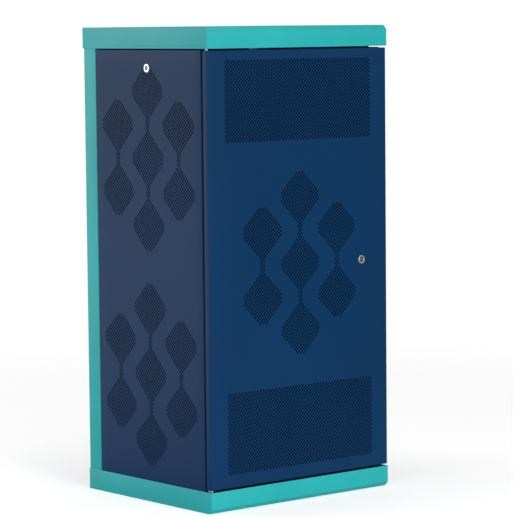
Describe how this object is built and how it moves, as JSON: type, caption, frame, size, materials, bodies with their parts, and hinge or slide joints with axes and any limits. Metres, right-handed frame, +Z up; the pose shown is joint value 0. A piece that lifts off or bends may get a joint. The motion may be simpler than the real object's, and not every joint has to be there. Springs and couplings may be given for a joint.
{
  "type": "battery rack cabinet",
  "caption": "Floor-standing rack cabinet for battery modules, with a perforated hinged front door, tilting perforated side panels, quarter-turn locks, plinth and cap.",
  "frame": {"origin": "centre of the cabinet's footprint, at floor level", "axes": "+Z up, -Y towards the front door, +X to the door's lock side as seen from the front"},
  "size_m": [0.6, 0.512, 1.21],
  "materials": {
    "turquoise_paint": "fine-textured powder coat",
    "blue_paint": "fine-textured powder coat",
    "black_frame": "matt black powder coat",
    "zinc": "zinc-plated steel",
    "lock_chrome": "polished chrome plate",
    "lock_cam_steel": "plated steel",
    "rubber": "matt rubber",
    "module_case": "dark grey powder coat",
    "module_front": "fine-grained moulding",
    "cells": "film-wrapped cells",
    "positive": "moulded orange plastic",
    "negative": "moulded black plastic",
    "cable_red": "soft cable jacket",
    "cable_black": "soft cable jacket",
    "breaker_body": "light grey moulding",
    "switch_plastic": "smooth black moulding",
    "toggle_plastic": "smooth dark blue moulding"
  },
  "bodies": {
    "cabinet": {"base_plinth": "turquoise_paint", "base_deck": "black_frame", "deck_grommets": "rubber", "top_cap": "turquoise_paint", "roof_frame": "black_frame", "front_post_left": "black_frame", "front_post_right": "black_frame", "rear_post_left": "turquoise_paint", "rear_post_right": "turquoise_paint", "side_braces": "zinc", "rack_rails_front": "zinc", "rack_rails_rear": "zinc", "module_runners": "zinc", "rear_panel": "blue_paint", "rear_panel_screws": "zinc", "earth_stud": "zinc", "hinge_pin_lower": "zinc", "door_catch": "zinc", "battery_cells": "cells", "battery_handles": "zinc", "positive_terminals": "positive", "negative_terminals": "negative", "link_cables_positive": "cable_red", "link_cables_negative": "cable_black", "rack_screws": "zinc", "control_case": "module_case", "control_front": "module_front", "main_breaker": "breaker_body", "battery_case_1": "module_case", "battery_front_1": "module_front", "battery_case_2": "module_case", "battery_front_2": "module_front", "battery_case_3": "module_case", "battery_front_3": "module_front", "battery_case_4": "module_case", "battery_front_4": "module_front"},
    "front_door": {"door_skin": "blue_paint", "door_stiffeners": "black_frame", "door_lock_housing": "lock_chrome"},
    "upper_hinge_latch": {"hinge_pin_upper": "zinc"},
    "door_lock": {"door_lock_plug": "lock_chrome", "door_lock_cam": "lock_cam_steel"},
    "left_panel": {"side_panel_left": "blue_paint", "side_lock_housing_left": "lock_chrome"},
    "left_panel_lock": {"side_lock_plug_left": "lock_chrome", "side_lock_cam_left": "lock_cam_steel"},
    "right_panel": {"side_panel_right": "blue_paint", "side_lock_housing_right": "lock_chrome"},
    "right_panel_lock": {"side_lock_plug_right": "lock_chrome", "side_lock_cam_right": "lock_cam_steel"},
    "main_breaker_toggle": {"breaker_toggle": "toggle_plastic"},
    "battery_rocker_1": {"battery_switch_1": "switch_plastic"},
    "battery_rocker_2": {"battery_switch_2": "switch_plastic"},
    "battery_rocker_3": {"battery_switch_3": "switch_plastic"},
    "battery_rocker_4": {"battery_switch_4": "switch_plastic"},
    "foot_front_left": {"levelling_foot_front_left": "zinc"},
    "foot_front_right": {"levelling_foot_front_right": "zinc"},
    "foot_rear_left": {"levelling_foot_rear_left": "zinc"},
    "foot_rear_right": {"levelling_foot_rear_right": "zinc"}
  },
  "joints": [
    {"name": "front_door_hinge", "type": "hinge", "parent": "cabinet", "child": "front_door", "pos_m": [-0.29, -0.243, 0.605], "axis": [0, 0, -1], "range_deg": [0, 120]},
    {"name": "upper_hinge_pin_slide", "type": "slide", "parent": "front_door", "child": "upper_hinge_latch", "axis": [0, 0, -1], "range_m": [0, 0.009], "stiffness_N_per_m": 300, "springref_m": -0.01},
    {"name": "door_lock_turn", "type": "hinge", "parent": "front_door", "child": "door_lock", "pos_m": [0.21, -0.254, 0.605], "axis": [0, -1, 0], "range_deg": [0, 90]},
    {"name": "left_panel_tilt", "type": "hinge", "parent": "cabinet", "child": "left_panel", "pos_m": [-0.298, -0.01325, 0.0545], "axis": [0, -1, 0], "range_deg": [0, 12]},
    {"name": "left_panel_lock_turn", "type": "hinge", "parent": "left_panel", "child": "left_panel_lock", "pos_m": [-0.298, -0.01325, 1.107], "axis": [-1, 0, 0], "range_deg": [0, 90]},
    {"name": "right_panel_tilt", "type": "hinge", "parent": "cabinet", "child": "right_panel", "pos_m": [0.298, -0.01325, 0.0545], "axis": [0, 1, 0], "range_deg": [0, 12]},
    {"name": "right_panel_lock_turn", "type": "hinge", "parent": "right_panel", "child": "right_panel_lock", "pos_m": [0.298, -0.01325, 1.107], "axis": [-1, 0, 0], "range_deg": [0, 90]},
    {"name": "main_breaker_throw", "type": "hinge", "parent": "cabinet", "child": "main_breaker_toggle", "pos_m": [0.15, -0.19, 1.02567], "axis": [-1, 0, 0], "range_deg": [0, 60]},
    {"name": "battery_rocker_1_throw", "type": "hinge", "parent": "cabinet", "child": "battery_rocker_1", "pos_m": [0.15, -0.176, 0.159], "axis": [-1, 0, 0], "range_deg": [0, 16]},
    {"name": "battery_rocker_2_throw", "type": "hinge", "parent": "cabinet", "child": "battery_rocker_2", "pos_m": [0.15, -0.176, 0.3368], "axis": [-1, 0, 0], "range_deg": [0, 16]},
    {"name": "battery_rocker_3_throw", "type": "hinge", "parent": "cabinet", "child": "battery_rocker_3", "pos_m": [0.15, -0.176, 0.5146], "axis": [-1, 0, 0], "range_deg": [0, 16]},
    {"name": "battery_rocker_4_throw", "type": "hinge", "parent": "cabinet", "child": "battery_rocker_4", "pos_m": [0.15, -0.176, 0.6924], "axis": [-1, 0, 0], "range_deg": [0, 16]},
    {"name": "foot_front_left_level", "type": "slide", "parent": "cabinet", "child": "foot_front_left", "axis": [0, 0, -1], "range_m": [0, 0.02]},
    {"name": "foot_front_right_level", "type": "slide", "parent": "cabinet", "child": "foot_front_right", "axis": [0, 0, -1], "range_m": [0, 0.02]},
    {"name": "foot_rear_left_level", "type": "slide", "parent": "cabinet", "child": "foot_rear_left", "axis": [0, 0, -1], "range_m": [0, 0.02]},
    {"name": "foot_rear_right_level", "type": "slide", "parent": "cabinet", "child": "foot_rear_right", "axis": [0, 0, -1], "range_m": [0, 0.02]}
  ]
}
